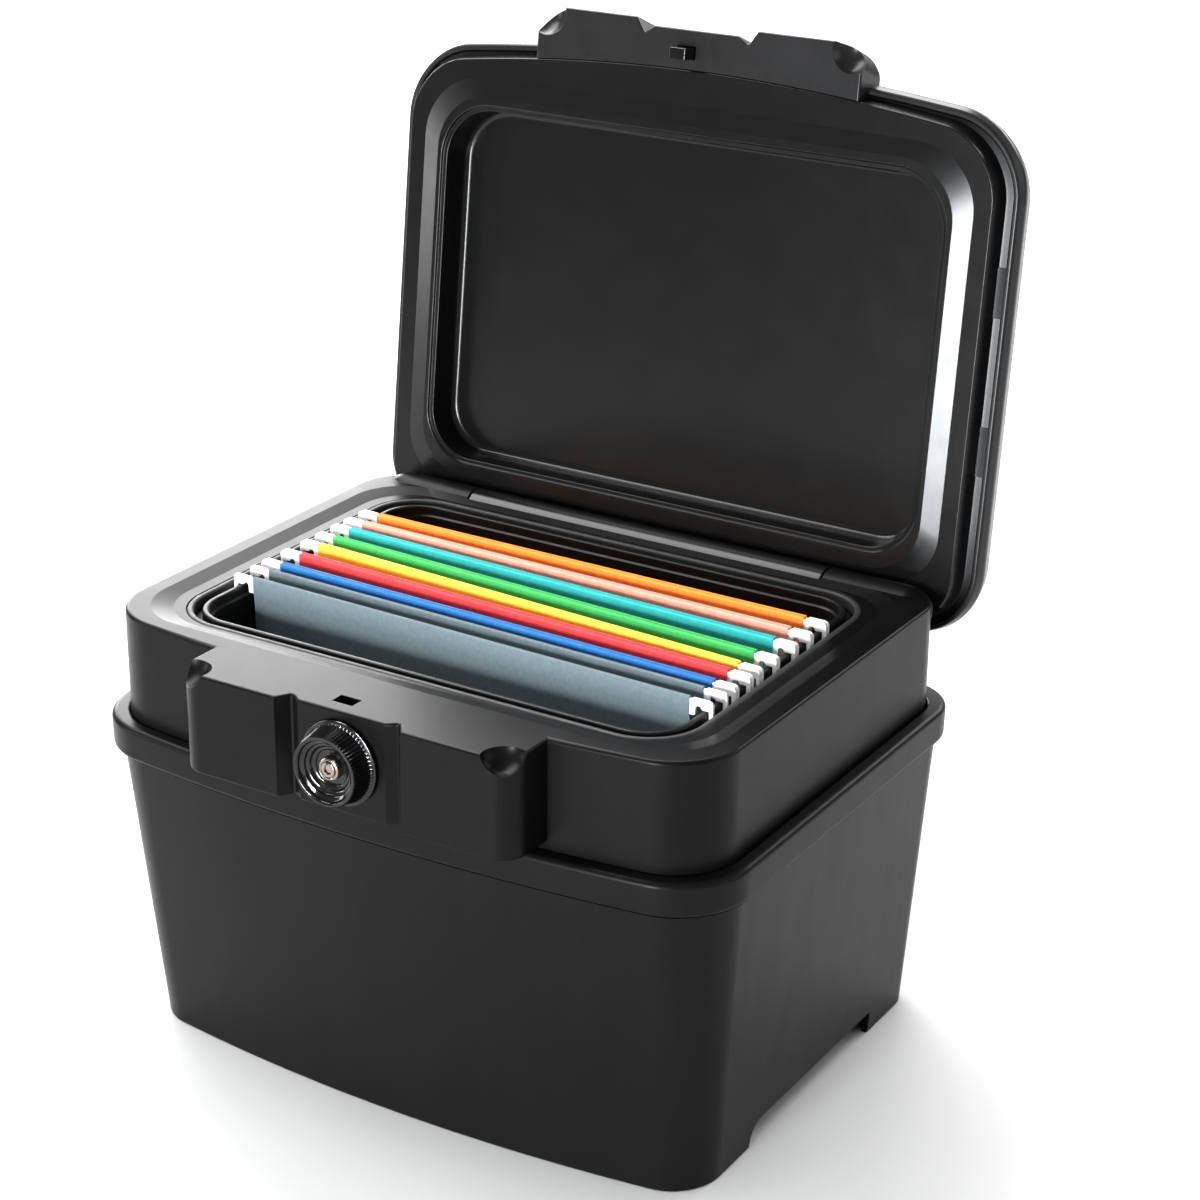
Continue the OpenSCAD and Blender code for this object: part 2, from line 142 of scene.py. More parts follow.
def loft(name, rings, loop=False):
    """Skin through rings of points, capped at both ends, or joined back on itself."""
    bm = bmesh.new()
    rows = [[bm.verts.new(p) for p in ring] for ring in rings]
    if loop:
        rows.append(rows[0])
    count = len(rows[0])
    for low, high in zip(rows, rows[1:]):
        for i in range(count):
            j = (i + 1) % count
            bm.faces.new((low[i], low[j], high[j], high[i]))
    if not loop:
        bm.faces.new(rows[0])
        bm.faces.new(rows[-1])
    return new_object(name, bm)


def shell(name, path, loop=False, steps=6):
    """Loft along a path of stations round the chest."""
    stations = rounded(path + path[:1], steps)[:-1] if loop else rounded(path, steps)
    rings = [[(x, y, s[-1]) for x, y in outline(*s[:-1])] for s in stations]
    return loft(name, rings, loop)


def inset(points, distance):
    """Moves a closed anticlockwise outline inwards."""
    result = []
    count = len(points)
    for i in range(count):
        before, here, after = (Vector(points[(i + k) % count]) for k in (-1, 0, 1))
        a, b = (here - before).normalized(), (after - here).normalized()
        normal = Vector((-a.y - b.y, a.x + b.x)).normalized()
        result.append(tuple(here + normal * distance / max(0.3, normal.dot(Vector((-a.y, a.x))))))
    return result


def prism(name, points, z0, z1, low_round=0.0, high_round=0.0, steps=4, shear=None):
    """Upright block over an outline, with rounded lower and upper edges.

    shear moves a point by its height.
    """
    rings = []
    for k in range(steps + 1) if low_round else (0,):
        a = math.pi / 2 * k / steps
        rings.append((low_round * (1 - math.sin(a)), z0 + low_round * (1 - math.cos(a))))
    for k in range(steps + 1) if high_round else (0,):
        a = math.pi / 2 * k / steps
        rings.append((high_round * (1 - math.cos(a)), z1 - high_round * (1 - math.sin(a))))
    shear = shear or (lambda x, y, z: (x, y, z))
    return loft(name, [[shear(x, y, z) for x, y in inset(points, d)] for d, z in rings])


def lathe(name, profile, axis, origin, count=96, radius_at=None):
    """Turns (radius, height) pairs about an axis. radius_at may change a radius by its angle."""
    turn = {"X": Matrix.Rotation(math.pi / 2, 4, "Y"), "Y": Matrix.Rotation(-math.pi / 2, 4, "X"),
            "Z": Matrix.Identity(4)}[axis]
    place = Matrix.Translation(origin) @ turn
    rings = []
    for r, h in profile:
        ring = []
        for i in range(count):
            a = 2 * math.pi * i / count
            rr = radius_at(r, h, a) if radius_at else r
            ring.append(place @ Vector((rr * math.cos(a), rr * math.sin(a), h)))
        rings.append(ring)
    return loft(name, rings)


def rod(name, r, low, high, axis="X", origin=(0, 0, 0), edge=0.0):
    """Round bar along an axis, with its ends rounded by edge."""
    profile = [(r - edge * (1 - math.cos(a)), low + edge * (1 - math.sin(a)))
               for a in (math.pi / 2 * k / 4 for k in range(4, -1, -1))] if edge else [(r, low)]
    profile += [(p, low + high - h) for p, h in reversed(profile)]
    return lathe(name, profile, axis, origin)


def ball(name, r, centre):
    steps = 32
    angles = [math.pi * k / steps for k in range(1, steps)]
    profile = [(r * math.sin(a), -r * math.cos(a)) for a in angles]
    return lathe(name, profile, "Z", centre, 2 * steps)


def cuboid(name, low, high):
    corners = [(low[0], low[1]), (high[0], low[1]), (high[0], high[1]), (low[0], high[1])]
    return loft(name, [[(x, y, z) for x, y in corners] for z in (low[2], high[2])])


def combine(obj, tool, operation="DIFFERENCE"):
    """Boolean of obj with tool, which is used up."""
    modifier = obj.modifiers.new("boolean", "BOOLEAN")
    modifier.operation = operation
    modifier.solver = "EXACT"
    modifier.object = tool
    graph = bpy.context.evaluated_depsgraph_get()
    mesh = bpy.data.meshes.new_from_object(obj.evaluated_get(graph))
    obj.modifiers.clear()
    obj.data = mesh
    mesh.name = obj.name
    bpy.data.objects.remove(tool)
    return obj


def soften(obj, width, where, angle=35, segments=3):
    """Rounds the edges sharper than angle whose middle passes where()."""
    bm = bmesh.new()
    bm.from_mesh(obj.data)
    bmesh.ops.remove_doubles(bm, verts=bm.verts, dist=0.02)
    edges = [e for e in bm.edges
             if len(e.link_faces) == 2 and e.calc_face_angle() > math.radians(angle)
             and where((e.verts[0].co + e.verts[1].co) / 2)]
    bmesh.ops.bevel(bm, geom=edges, offset=width, segments=segments, profile=0.5, affect="EDGES",
                    clamp_overlap=True)
    bm.to_mesh(obj.data)
    bm.free()
    return obj


def settle(obj, body, slot, *nodes, materials=(), lid=False, flat=False):
    """Puts a finished piece in the frame, on its body, in place of its CAD nodes."""
    obj.data.transform(TO_FRAME @ OPEN_LID if lid else TO_FRAME)
    if not flat:
        obj.data.shade_smooth()
        obj.data.set_sharp_from_angle(angle=SMOOTH_ANGLE)
        normals = obj.modifiers.new("normals", "WEIGHTED_NORMAL")
        normals.keep_sharp = True
    for material in materials:
        obj.data.materials.append(material)
    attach(obj, body)
    if nodes:
        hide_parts(*nodes)
    return obj


# ---- materials ----


def new_material(name):
    mat = bpy.data.materials.new(name)
    mat.use_nodes = True
    return mat, mat.node_tree, mat.node_tree.nodes["Principled BSDF"]


def noise(tree, scale, detail=2.0, roughness=0.5, stretch=None):
    """Noise texture in object space; scale counts features per metre."""
    coords = tree.nodes.new("ShaderNodeTexCoord")
    source = coords.outputs["Object"]
    if stretch:
        mapping = tree.nodes.new("ShaderNodeMapping")
        mapping.inputs["Scale"].default_value = stretch
        tree.links.new(source, mapping.inputs["Vector"])
        source = mapping.outputs["Vector"]
    node = tree.nodes.new("ShaderNodeTexNoise")
    node.inputs["Scale"].default_value = scale
    node.inputs["Detail"].default_value = detail
    node.inputs["Roughness"].default_value = roughness
    tree.links.new(source, node.inputs["Vector"])
    return node.outputs["Fac"]


def spread(tree, value, low, high):
    """Stretches the middle of a noise, 0.3 to 0.7, to low to high."""
    node = tree.nodes.new("ShaderNodeMapRange")
    node.inputs["From Min"].default_value = 0.3
    node.inputs["From Max"].default_value = 0.7
    node.inputs["To Min"].default_value = low
    node.inputs["To Max"].default_value = high
    tree.links.new(value, node.inputs["Value"])
    return node.outputs["Result"]


def tint(tree, factor, dark, light):
    node = tree.nodes.new("ShaderNodeMix")
    node.data_type = "RGBA"
    node.inputs["A"].default_value = (*dark, 1)
    node.inputs["B"].default_value = (*light, 1)
    tree.links.new(factor, node.inputs["Factor"])
    return node.outputs["Result"]


def bump(tree, bsdf, height, strength, distance):
    node = tree.nodes.new("ShaderNodeBump")
    node.inputs["Strength"].default_value = strength
    node.inputs["Distance"].default_value = distance
    tree.links.new(height, node.inputs["Height"])
    tree.links.new(node.outputs["Normal"], bsdf.inputs["Normal"])


def plastic(name, base, rough=(0.3, 0.4), grain=0.1, specular=0.5, stretch=None, blotch=25):
    """Moulded plastic: faint cloudiness, uneven gloss and a fine grain."""
    mat, tree, bsdf = new_material(name)
    clouds = noise(tree, blotch, 4, 0.55, stretch)
    lighter = [min(1, c * 1.15 + 0.0006) for c in base]
    tree.links.new(tint(tree, spread(tree, clouds, 0, 1), base, lighter), bsdf.inputs["Base Color"])
    tree.links.new(spread(tree, noise(tree, blotch * 2.3, 5, 0.6, stretch), *rough), bsdf.inputs["Roughness"])
    bsdf.inputs["Specular IOR Level"].default_value = specular
    bump(tree, bsdf, noise(tree, 2600, 2), grain, 0.0001)
    return mat


def metal(name, base, rough, brushed=None):
    mat, tree, bsdf = new_material(name)
    marks = noise(tree, 900, 3, 0.6, brushed)
    darker = [c * 0.86 for c in base]
    tree.links.new(tint(tree, spread(tree, marks, 0, 1), darker, base), bsdf.inputs["Base Color"])
    tree.links.new(spread(tree, noise(tree, 300, 3), *rough), bsdf.inputs["Roughness"])
    bsdf.inputs["Metallic"].default_value = 1.0
    bump(tree, bsdf, marks, 0.05, 0.0001)
    return mat


def rough_cast(name, base):
    mat, tree, bsdf = new_material(name)
    darker = [c * 0.7 for c in base]
    tree.links.new(tint(tree, noise(tree, 180, 6, 0.7), darker, base), bsdf.inputs["Base Color"])
    bsdf.inputs["Roughness"].default_value = 0.95
    bump(tree, bsdf, noise(tree, 700, 6, 0.7), 0.5, 0.0006)
    return mat


def card(name, base):
    """Dyed card: mottled pulp, fibres and a matt face."""
    vary = 0.12
    mat, tree, bsdf = new_material(name)
    pulp = noise(tree, 420, 6, 0.65, (1, 1, 0.7))
    dark = [c * (1 - vary) for c in base]
    light = [min(1, c * (1 + vary * 0.6) + 0.01) for c in base]
    tree.links.new(tint(tree, spread(tree, pulp, 0, 1), dark, light), bsdf.inputs["Base Color"])
    tree.links.new(spread(tree, noise(tree, 90, 3), 0.62, 0.8), bsdf.inputs["Roughness"])
    bsdf.inputs["Specular IOR Level"].default_value = 0.3
    bump(tree, bsdf, noise(tree, 2200, 4, 0.7, (1, 1, 0.4)), 0.25, 0.0002)
    return mat


TUB = plastic("tub_plastic", (0.0042, 0.0039, 0.0037), (0.32, 0.38), 0.05, 0.1, (1, 1, 0.35))
COLLAR = plastic("collar_plastic", (0.0034, 0.0033, 0.0034), (0.32, 0.37), 0.04, 0.1)
LID = plastic("lid_plastic", (0.011, 0.011, 0.0113), (0.26, 0.31), 0.04, 0.26)
PAN = plastic("pan_plastic", (0.0042, 0.0042, 0.0042), (0.20, 0.23), 0.03, 0.28)
LINER = plastic("liner_plastic", (0.009, 0.0085, 0.008), (0.3, 0.42), 0.05, 0.15)
GLOSS = plastic("black_gloss", (0.003, 0.003, 0.0032), (0.08, 0.13), 0.02, 0.38, blotch=60)
RUBBER = plastic("gasket_rubber", (0.03, 0.03, 0.03), (0.45, 0.6), 0.2, 0.35, blotch=60)
WHITE = plastic("bar_white", (0.86, 0.86, 0.85), (0.25, 0.35), 0.03, 0.5, blotch=60)
NYLON = plastic("washer_nylon", (0.62, 0.61, 0.57), (0.4, 0.5), 0.05, 0.4, blotch=60)
STEEL = metal("plain_steel", (0.55, 0.55, 0.56), (0.25, 0.4), (1, 1, 12))
NICKEL = metal("nickel_plate", (0.36, 0.31, 0.26), (0.1, 0.22))
FILL = rough_cast("cast_fill", (0.72, 0.70, 0.65))

# ---- outlines of the chest ----

FOOT = (190, -129.3, 138, 26, 22, 16)
TUB_TOP = (204, -145, 144, 34, 30, 17)
LIP = (209, -152, 150, 39, 35, 16)
LIP_IN = (199.8, -143.9, 139.4, 34.6, 29.6, 15.2)
COLLAR_OUT = (199, -143.3, 138.5, 34, 29, 15)
RAMP_TOP = (187.5, -138.4, 120.5, 38, 34, 2)
RAMP_FOOT = (177.6, -130, 113.5, 38, 32, 0)
GASKET_OUT = (169.3, -127.5, 112.5, 36, 34, 0)
GASKET_IN = (165.1, -123.3, 108.3, 32, 30, 0)
RAIL = (160.6, -119, 103.6, 28, 26, 0)


def grow(shape, d):
    """Outline values moved outwards by d all round."""
    w, f, b, rf, rb, bow = shape
    return (w + d, f - d, b + d, max(1, rf + d), max(1, rb + d), bow)


def make_tub():
    floor_under, lip_under, seat = 15.6, 182, 190
    tub = shell("tub", [
        (grow(FOOT, -10), floor_under),
        (grow(FOOT, -4.4), floor_under, 1.5),
        (grow(FOOT, -4), 0, 1.0),
        (FOOT, 0, 1.8),
        (TUB_TOP, lip_under, 3.0),
        (grow(LIP, -0.5), lip_under, 3.6),
        (LIP, LIP_TOP, 3.4),
        (LIP_IN, LIP_TOP, 1.4),
        (LIP_IN, seat + 10.4),
        (grow(LIP, -8.2), seat + 9.6),
        (grow(LIP, -8.4), seat),
        (grow(LIP, -17), seat),
        (grow(LIP, -17), lip_under),
        (grow(TUB_TOP, -4), lip_under - 1),
        (grow(FOOT, -5), floor_under + 4),
        (grow(FOOT, -30), floor_under + 4),
    ])
    arch = [(-69.4, -5), (77.8, -5), (77.8, 13)]
    rear_turn = [math.pi / 2 * k / 5 for k in range(6)]
    front_turn = [math.pi / 2 * (1 + k / 8) for k in range(9)]
    arch += [(75.6 + 2.2 * math.cos(a), 13 + 2.2 * math.sin(a)) for a in rear_turn]
    arch += [(-57.4 + 12 * math.cos(a), 3.2 + 12 * math.sin(a)) for a in front_turn]
    cutter = loft("arch", [[(x, y, z) for y, z in arch] for x in (-240, 240)])
    combine(tub, cutter)
    return settle(tub, "base", "tub_plastic", "outer_tub", materials=[TUB])


HOUSE_W = 109.5
HOUSE_Y = -188.4
PANEL_Y = -184.4
SCALLOP_R = 13.5
COLLAR_SCALLOP_Z = 270
LID_SCALLOP_Z = 264.4
BARREL_R = 14
BARREL_AT = (0, HINGE.y, HINGE.z)


def house_outline(back):
    """Plan of the latch housing: two blocks, a creased valley each side, and the panel between them."""
    corner = 16.0
    right = [(28.3, PANEL_Y), (33.2, -180.9), (34.5, -180.4), (35.8, -180.7), (41, HOUSE_Y)]
    right.append((HOUSE_W - corner, HOUSE_Y))
    right += [(HOUSE_W - corner + corner * math.sin(a), HOUSE_Y + corner * (1 - math.cos(a)))
              for a in (math.pi / 2 * k / 10 for k in range(1, 11))]
    right.append((HOUSE_W, back))
    left = [(-x, y) for x, y in reversed(right)]
    return left + right


def scallop_centres(z):
    return [Vector((side * 103, -184, z)) for side in (-1, 1)]


def scallops(obj, z):
    """Cuts a finger scallop in each end of the latch housing or its tab."""
    for centre in scallop_centres(z):
        combine(obj, ball("scallop", SCALLOP_R, centre))


def near_scallop(z):
    return lambda p: any(abs((p - c).length - SCALLOP_R) < 0.3 for c in scallop_centres(z))


def make_collar():
    seat, under = 190, 255
    collar = shell("collar", [
        (COLLAR_OUT, seat),
        (COLLAR_OUT, DECK_Z, 2.2),
        (RAMP_TOP, DECK_Z, 2.0),
        (RAMP_FOOT, DECK_Z - 2.4, 2.0),
        (GASKET_OUT, DECK_Z - 2.4, 0.6),
        (GASKET_OUT, DECK_Z - 8),
        (grow(GASKET_IN, -0.4), DECK_Z - 8),
        (grow(GASKET_IN, -0.4), under),
        (grow(COLLAR_OUT, -8), under),
        (grow(COLLAR_OUT, -8), seat),
    ], loop=True)
    bead = shell("bead", [
        (grow(COLLAR_OUT, -2), seat), (grow(COLLAR_OUT, 1.6), seat), (grow(COLLAR_OUT, 1.6), seat + 9, 1.2),
        (grow(COLLAR_OUT, -2), seat + 9.2)], loop=True)
    combine(collar, bead, "UNION")
    house = prism("house", house_outline(-149), 207.5, DECK_Z, 1.6, 1.6, 5)
    combine(house, cuboid("pocket", (-84, -180, 200), (84, -152, 262)))
    combine(collar, house, "UNION")
    for side in (-1, 1):
        knuckle = lathe("knuckle", [
            (BARREL_R - 0.8, 125.6), (BARREL_R - 0.23, 125.83), (BARREL_R, 126.4), (BARREL_R, 178),
            (13.6, 181), (12.3, 185), (10, 188.6), (7, 191),
        ], "X", BARREL_AT)
        if side < 0:
            knuckle.data.transform(Matrix.Scale(-1, 4, (1, 0, 0)))
        combine(collar, knuckle, "UNION")
    combine(collar, rod("trough", BARREL_R + 0.6, -125.6, 125.6, "X", BARREL_AT))
    combine(collar, cuboid("behind", (-125.6, HINGE.y, HINGE.z), (125.6, HINGE.y + 30, HINGE.z + 40)))
    scallops(collar, COLLAR_SCALLOP_Z)
    combine(collar, cuboid("slot", (-12.3, -175.3, 240), (1.2, -166.6, 280)))
    combine(collar, rod("bore", 13, -200, -178, "Y", (0, 0, KNOB_Z)))
    soften(collar, 0.7, near_scallop(COLLAR_SCALLOP_Z), 20)
    return settle(collar, "base", "collar_plastic", "upper_collar", materials=[COLLAR])


def make_liner():
    floor = 34
    liner = shell("liner", [
        (grow(RAIL, -20), floor - 2.5),
        (grow(RAIL, -3.2), floor - 2.5, 6),
        (grow(RAIL, -3.1), 255),
        (grow(RAIL, 3.9), 255),
        (grow(RAIL, 3.9), 258),
        (RAIL, 258),
        (grow(RAIL, -0.2), 264.3, 1.5),
        (grow(RAIL, -3.9), 264.3, 1.5),
        (grow(RAIL, -4.2), 259, 0.6),
        (grow(RAIL, -5.6), 258, 0.6),
        (grow(RAIL, -6.4), floor, 6),
        (grow(RAIL, -30), floor),
    ])
    return settle(liner, "base", "liner_plastic", "inner_liner", materials=[LINER])


def make_gasket():
    low, high = DECK_Z - 8 + 0.02, DECK_Z - GASKET_DROP
    gasket = shell("gasket", [
        (grow(GASKET_OUT, -0.1), low), (grow(GASKET_OUT, -0.1), high, 1.6), (grow(GASKET_IN, 0.1), high, 1.6),
        (grow(GASKET_IN, 0.1), low)], loop=True)
    return settle(gasket, "base", "gasket_rubber", "base_gasket", materials=[RUBBER])


# ---- lid, drawn closed ----

BORDER = (198.6, -144.3, 141, 36, 31, 16.5)
RIM_IN = (205.7, -148.7, 146.5, 39, 38, 15)
RIM_OUT = (208.9, -152.2, 149.4, 43, 41, 15)
SHELL_Z = DECK_Z + 12.4
LID_TOP = DECK_Z + 52


def make_pan():
    face = DECK_Z + 0.4
    ring = face - 2.0
    pan = shell("pan", [
        ((140, -88, 73, 16, 16, 0), face + 21),
        ((169.2, -119.6, 100, 32.5, 29.5, 0), face + 21, 4),
        ((170.0, -120.4, 100.8, 33, 30, 0), ring + 1.6, 0.6),
        ((172.8, -123.2, 103.2, 35, 32, 0), ring + 1.4, 0.4),
        ((173.3, -123.7, 103.6, 35, 32, 0), ring, 0.7),
        ((176.3, -129, 112.5, 35.5, 32, 0), ring, 0.8),
        ((187.5, -138.4, 120, 38, 34, 2), face, 0.8),
        (BORDER, face, 0.8),
        (grow(BORDER, 2), face + 13.4, 0.6),
        (grow(RIM_IN, -0.6), face + 13.8, 0.3),
        (grow(RIM_IN, -0.6), face + 16),
        (grow(BORDER, -4), face + 16),
        (grow(BORDER, -4), face + 4.4),
        ((171.2, -122.8, 105.4, 35.5, 32.5, 0), face + 4.4),
        ((171.0, -122.6, 104, 35, 32, 0), face + 25.5),
        ((140, -88, 73, 16, 16, 0), face + 25.5),
    ])
    for side in (-1, 1):
        low, high = sorted((side * 124.9, side * 193))
        combine(pan, rod("relief", BARREL_R + 0.6, low, high, "X", BARREL_AT))
    combine(pan, rod("barrel", BARREL_R, -124.8, 124.8, "X", BARREL_AT, 0.7), "UNION")
    return settle(pan, "lid", "lid_plastic", "lid_pan", materials=[PAN], lid=True)


def make_shell():
    lid = shell("lid", [
        ((120, -64, 64, 30, 30, 3), LID_TOP - 5),
        ((178, -122, 121, 34, 32, 11), LID_TOP - 5.6, 8),
        ((196, -139, 137, 38, 37, 13), LID_TOP - 13, 8),
        (RIM_IN, SHELL_Z + 9),
        (RIM_IN, SHELL_Z, 0.7),
        (RIM_OUT, SHELL_Z, 2.0),
        ((211, -154, 150.5, 44, 42, 15), SHELL_Z + 7, 8),
        ((207.5, -150.5, 147.5, 43, 41, 15), LID_TOP - 18, 16),
        ((196, -139, 138, 41, 39, 13), LID_TOP - 6.4, 12),
        ((178, -122, 122, 40, 38, 11), LID_TOP - 3, 30),
        ((120, -64, 64, 32, 30, 4), LID_TOP - 1.4, 40),
        ((50, -20, 20, 12, 12, 0), LID_TOP - 1),
    ], steps=8)
    tab = prism("tab", house_outline(-140), DECK_Z + 0.4, DECK_Z + 30, 1.2, 5.0, 5, lean)
    centre = (60, -60, 60, 20, 20, 4)
    combine(tab, shell("clear", [
        (centre, DECK_Z - 2),
        (grow(BORDER, 0.3), DECK_Z - 2),
        (grow(BORDER, 2.4), DECK_Z + 13.4),
        (grow(RIM_IN, -0.4), DECK_Z + 13.8),
        (grow(RIM_IN, -0.4), DECK_Z + 17.5),
        (centre, DECK_Z + 17.5),
    ]))
    combine(lid, tab, "UNION")
    for side in (-1, 1):
        for y in (-73, 20):
            low, high = sorted((side * 200.6, side * 207))
            combine(lid, cuboid("clip", (low, y, SHELL_Z + 0.7), (high, y + 29, SHELL_Z + 2.4)), "UNION")
    scallops(lid, LID_SCALLOP_Z)
    combine(lid, cuboid("window", (-11.5, -174.9, 255), (1.0, -167.1, 285)))
    soften(lid, 0.7, near_scallop(LID_SCALLOP_Z), 20)
    return settle(lid, "lid", "lid_plastic", "lid_shell", materials=[LID], lid=True)


def lean(x, y, z):
    """The tab's front leans back as it rises."""
    rise = max(0.0, z - DECK_Z - 2) / 26
    return (x, y + 8 * rise ** 1.3 * min(1, max(0, (-y - 150) / 30)), z)


# ---- lock ----


def make_knob():
    flutes = 64

    def fluted(r, h, a):
        if r < 19.8 or not -200.2 < h < -188.4:
            return r
        return r - 0.95 * (0.5 - 0.5 * math.cos(flutes * a)) ** 0.8

    profile = [
        (8.6, -176.4), (8.9, -177), (8.9, -186), (23.7, -186.2), (24.2, -186.4), (24.4, -186.9),
        (24.3, -187.4), (23.9, -187.7), (23.0, -187.8), (22.9, -188.2), (22.5, -188.6), (22.2, -189.6),
        (21.7, -191.4), (21.2, -193.6), (20.8, -196), (20.5, -198.4), (20.4, -199.5), (20.2, -200.0),
        (19.7, -200.4), (19.0, -200.5), (18.3, -200.4), (17.8, -200.0), (17.4, -199.3), (17.3, -198.4),
        (16.8, -197.9), (15.6, -197.6), (15.1, -197.2), (14.9, -196.4), (14.5, -195.9), (13.3, -195.6),
        (12.8, -195.1), (12.6, -194.4), (12.1, -193.9), (10.7, -193.6), (10.2, -193.2), (10.0, -192.7),
        (9.4, -192.4), (6.7, -192.4), (6.7, -178.3), (4, -178.2),
    ]
    knob = lathe("knob", profile, "Y", (0, 0, KNOB_Z), flutes * 8, fluted)
    return settle(knob, "knob", "black_gloss", "knob", materials=[GLOSS])


def make_lock():
    body = lathe("lock_body", [
        (4.75, -178.4), (6.4, -178.4), (6.45, -195.6), (6.3, -196.1), (5.9, -196.4), (5.2, -196.5),
        (4.9, -196.3), (4.75, -195.8),
    ], "Y", (0, 0, KNOB_Z))
    settle(body, "knob", "nickel", "lock_cylinder", materials=[NICKEL])
    plug = lathe("plug", [
        (2.9, -177.6), (2.9, -181), (4.5, -181), (4.5, -196.2), (4.2, -196.7), (3.6, -196.9),
        (2.7, -196.9), (2.4, -196.6), (2.3, -186),
    ], "Y", (0, 0, KNOB_Z))
    combine(plug, cuboid("keyway", (-0.9, -199, KNOB_Z - 0.1), (0.9, -184, KNOB_Z + 3.7)))
    settle(plug, "key_plug", "nickel", "lock_plug", materials=[NICKEL])


def make_hook():
    face = [
        (-24, 273.5), (-24, 271.2), (-11, 271.2), (-11, 267.6), (-7, 267.6), (-7, 259.2), (-10.4, 259.2),
        (-11, 258.6), (-11, 256.8), (-10.4, 256.2), (-0.1, 256.2), (0.5, 256.8), (0.5, 271.2),
        (13, 271.2), (13, 273.5),
    ]
    hook = loft("hook", [[(x, y, z) for x, z in face] for y in (-174.4, -167.6)])
    soften(hook, 0.5, lambda p: p.z < 267, 30)
    settle(hook, "lid", "black_gloss", "lid_hook", materials=[GLOSS], lid=True)


# ---- folders ----
# y of a folder's rear bar at its left and right ends, and how far its front bar is in front, as in the CAD

FOLDERS = [
    ("grey", -52, -60, 14.5, (0.11, 0.15, 0.17)),
    ("blue", -38.5, -48, 2.6, (0.012, 0.14, 0.44)),
    ("red", -20, -31.5, 2.6, (0.80, 0.045, 0.05)),
    ("yellow", -1.5, -20, 2.6, (0.98, 0.66, 0.06)),
    ("green", 13.5, -1.5, 2.6, (0.04, 0.40, 0.09)),
    ("teal", 29.5, 20, 2.6, (0.02, 0.38, 0.37)),
    ("salmon", 43, 37.5, 2.6, (0.90, 0.34, 0.25)),
    ("orange", 58.5, 56, 2.6, (0.95, 0.26, 0.03)),
]
FOLDER_W = 298.4
FOLDER_H = 234
BAR_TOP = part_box("folder_1_paper")[1].z / MM
# The hook at a bar's end, as x and how far below the bar's top
BAR_HOOK = [
    (150, 10.5), (150.5, 1.2), (151.6, 0.5), (161.2, 0.5), (162.9, 1.2), (163.8, 2.6),
    (163.8, 10.8), (163.3, 11.4), (161.8, 11.4), (161.3, 10.8), (161.3, 6.5), (157, 6.5),
    (156, 4.8), (154, 4.6), (153, 6), (152.6, 10.5),
]


def make_folder(index, colour, left, right, gap, base, rng):
    number = index + 1
    place = (Matrix.Translation((0, (left + right) / 2, 0))
             @ Matrix.Rotation(math.atan((right - left) / FOLDER_W), 4, "Z"))
    low = BAR_TOP - FOLDER_H
    seam = 13.0
    middle = -gap / 2
    loop = 1.15
    turn = [math.pi * k / 6 for k in range(7)]
    top_arc = [(loop * math.cos(a), BAR_TOP - loop + loop * math.sin(a)) for a in turn]

    def strip(y0):
        """Folded-over top of one panel, from its inner foot over the bar to its outer foot."""
        return [(y0 + y, z) for y, z in [(loop, BAR_TOP - 9)] + top_arc + [(-loop, BAR_TOP - 9)]]

    thin = 0.35
    front, rear = strip(-gap), strip(0)
    section = (
        [(-gap + thin, BAR_TOP - seam)] + front
        + [(-gap - thin, BAR_TOP - seam), (-gap - thin, BAR_TOP - seam - 1)]
        + [(middle - 1.3, low + 1), (middle - 0.7, low), (middle + 0.7, low), (middle + 1.3, low + 1)]
        + [(thin, BAR_TOP - seam - 1), (thin, BAR_TOP - seam)] + rear + [(-thin, BAR_TOP - seam)]
        + [(middle + 0.8, low + 1.4), (middle - 0.8, low + 1.4)]
    )
    waves = [(rng.uniform(-0.4, 0.4), rng.uniform(0.6, 1.6), rng.uniform(0, 6)) for _ in range(2)]
    rings = []
    count = 60
    for k in range(count + 1):
        x = FOLDER_W * (k / count - 0.5)
        sway = sum(a * math.sin(f * math.pi * k / count * 2 + p) for a, f, p in waves)
        rings.append([place @ Vector((x, y + sway * min(1, (BAR_TOP - z) / 60), z)) for y, z in section])
    paper = loft("folder_%d" % number, rings)
    settle(paper, "folder_%d" % number, "paper_" + colour, "folder_%d_paper" % number,
           materials=[card("card_" + colour, base)])

    bars = None
    for y in (0, -gap):
        bar = cuboid("bar", (-152, y - 0.6, BAR_TOP - 10.6), (152, y + 0.6, BAR_TOP - 1.4))
        for side in (-1, 1):
            end = loft("end", [
                [(side * x, y + d, BAR_TOP - drop) for x, drop in BAR_HOOK] for d in (-0.95, 0.95)
            ])
            soften(end, 0.35, lambda p: True, 50, 2)
            combine(bar, end, "UNION")
        bars = bar if bars is None else join(bars, bar)
    bars.name = "folder_%d_bars_pair" % number
    bars.data.transform(place)
    settle(bars, "folder_%d" % number, "bar_white", "folder_%d_bars" % number, materials=[WHITE])


def join(first, second):
    bm = bmesh.new()
    bm.from_mesh(first.data)
    bm.from_mesh(second.data)
    bm.to_mesh(first.data)
    bm.free()
    bpy.data.objects.remove(second)
    return first


# ---- stage ----


def make_stage():
    bm = bmesh.new()
    bmesh.ops.create_grid(bm, x_segments=1, y_segments=1, size=12)
    mesh = bpy.data.meshes.new("floor")
    bm.to_mesh(mesh)
    bm.free()
    floor = bpy.data.objects.new("floor", mesh)
    bpy.context.scene.collection.objects.link(floor)
    mat, tree, bsdf = new_material("floor_paint")
    paint = tint(tree, noise(tree, 3, 2), (0.46, 0.46, 0.46), (0.48, 0.48, 0.48))
    tree.links.new(paint, bsdf.inputs["Base Color"])
    bsdf.inputs["Roughness"].default_value = 0.9
    mesh.materials.append(mat)
    return floor


